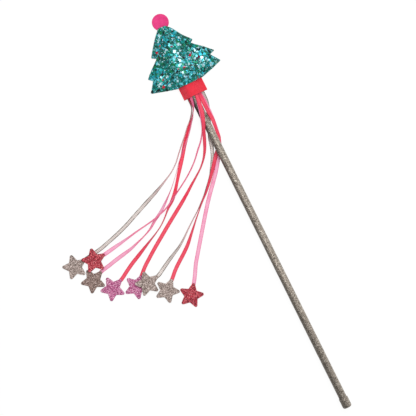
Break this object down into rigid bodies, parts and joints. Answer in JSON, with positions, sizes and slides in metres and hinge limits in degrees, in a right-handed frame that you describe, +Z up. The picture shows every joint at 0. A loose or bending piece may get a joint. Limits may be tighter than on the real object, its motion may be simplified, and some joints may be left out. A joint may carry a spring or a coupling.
{
  "type": "toy magic wand",
  "caption": "Toy magic wand: a glitter-wrapped stick with a padded tree topper, felt trunk and disc, and ribbon streamers that end in flat stars.",
  "frame": {"origin": "on the flat back of the tree, under the stick's axis, at the middle of the tree's height", "axes": "+Y along the stick from the handle to the tree, +Z up from the back to the padded front, +X across"},
  "size_m": [0.199, 0.3707, 0.0122],
  "materials": {
    "wood": "plain, unvarnished",
    "champagne_glitter": "fine glitter fabric",
    "teal_glitter": "chunky mixed glitter fabric",
    "wadding": "soft polyester wadding",
    "red_felt": "felt",
    "pink_felt": "felt",
    "silver_ribbon": "metallic woven ribbon",
    "pink_satin": "satin ribbon",
    "coral_satin": "satin ribbon",
    "silver_glitter": "fine glitter fabric",
    "red_glitter": "fine glitter fabric",
    "pink_glitter": "fine glitter fabric"
  },
  "bodies": {
    "wand": {"dowel": "wood", "stick_wrap": "champagne_glitter", "end_cap": "champagne_glitter", "tree_back": "teal_glitter", "tree_front": "teal_glitter", "tree_wadding": "wadding", "trunk_back": "red_felt", "trunk_front": "red_felt", "felt_disc": "pink_felt", "ribbon_1": "silver_ribbon", "ribbon_2": "pink_satin", "ribbon_3": "pink_satin", "ribbon_4": "coral_satin", "ribbon_5": "coral_satin", "ribbon_6": "silver_ribbon", "ribbon_7": "coral_satin", "ribbon_8": "pink_satin"},
    "star_1": {"star_1_front": "silver_glitter", "star_1_back": "silver_glitter"},
    "star_2": {"star_2_front": "red_glitter", "star_2_back": "red_glitter"},
    "star_3": {"star_3_front": "silver_glitter", "star_3_back": "silver_glitter"},
    "star_4": {"star_4_front": "pink_glitter", "star_4_back": "pink_glitter"},
    "star_5": {"star_5_front": "pink_glitter", "star_5_back": "pink_glitter"},
    "star_6": {"star_6_front": "silver_glitter", "star_6_back": "silver_glitter"},
    "star_7": {"star_7_front": "silver_glitter", "star_7_back": "silver_glitter"},
    "star_8": {"star_8_front": "red_glitter", "star_8_back": "red_glitter"}
  },
  "joints": [
    {"name": "star_1_flap", "type": "hinge", "parent": "wand", "child": "star_1", "pos_m": [-0.1442, -0.1182, 0.001], "axis": [-0.1736, 0.9848, 0], "range_deg": [0, 30], "deforming": ["ribbon_1"]},
    {"name": "star_2_flap", "type": "hinge", "parent": "wand", "child": "star_2", "pos_m": [-0.127, -0.1215, 0.0033], "axis": [-0.0872, 0.9962, 0], "range_deg": [0, 75], "deforming": ["ribbon_2"]},
    {"name": "star_3_flap", "type": "hinge", "parent": "wand", "child": "star_3", "pos_m": [-0.136, -0.1335, 0.001], "axis": [-0.3746, 0.9272, 0], "range_deg": [0, 30], "deforming": ["ribbon_3"]},
    {"name": "star_4_flap", "type": "hinge", "parent": "wand", "child": "star_4", "pos_m": [-0.124, -0.147, 0.001], "axis": [-0.3584, 0.9336, 0], "range_deg": [0, 75], "deforming": ["ribbon_4"]},
    {"name": "star_5_flap", "type": "hinge", "parent": "wand", "child": "star_5", "pos_m": [-0.107, -0.1515, 0.001], "axis": [-0.6428, 0.766, 0], "range_deg": [0, 38], "deforming": ["ribbon_5"]},
    {"name": "star_6_flap", "type": "hinge", "parent": "wand", "child": "star_6", "pos_m": [-0.095, -0.158, 0.0033], "axis": [-0.1908, 0.9816, 0], "range_deg": [0, 75], "deforming": ["ribbon_6"]},
    {"name": "star_7_flap", "type": "hinge", "parent": "wand", "child": "star_7", "pos_m": [-0.0852, -0.1658, 0.001], "axis": [-0.6561, 0.7547, 0], "range_deg": [0, 75], "deforming": ["ribbon_7"]},
    {"name": "star_8_flap", "type": "hinge", "parent": "wand", "child": "star_8", "pos_m": [-0.0702, -0.1771, 0.001], "axis": [-0.788, 0.6157, 0], "range_deg": [0, 75], "deforming": ["ribbon_8"]}
  ],
  "couplings": [
    {"joint": "star_1_flap", "follows": "star_2_flap", "ratio": 0.4},
    {"joint": "star_3_flap", "follows": "star_2_flap", "ratio": 0.4},
    {"joint": "star_5_flap", "follows": "star_6_flap", "ratio": 0.5}
  ]
}
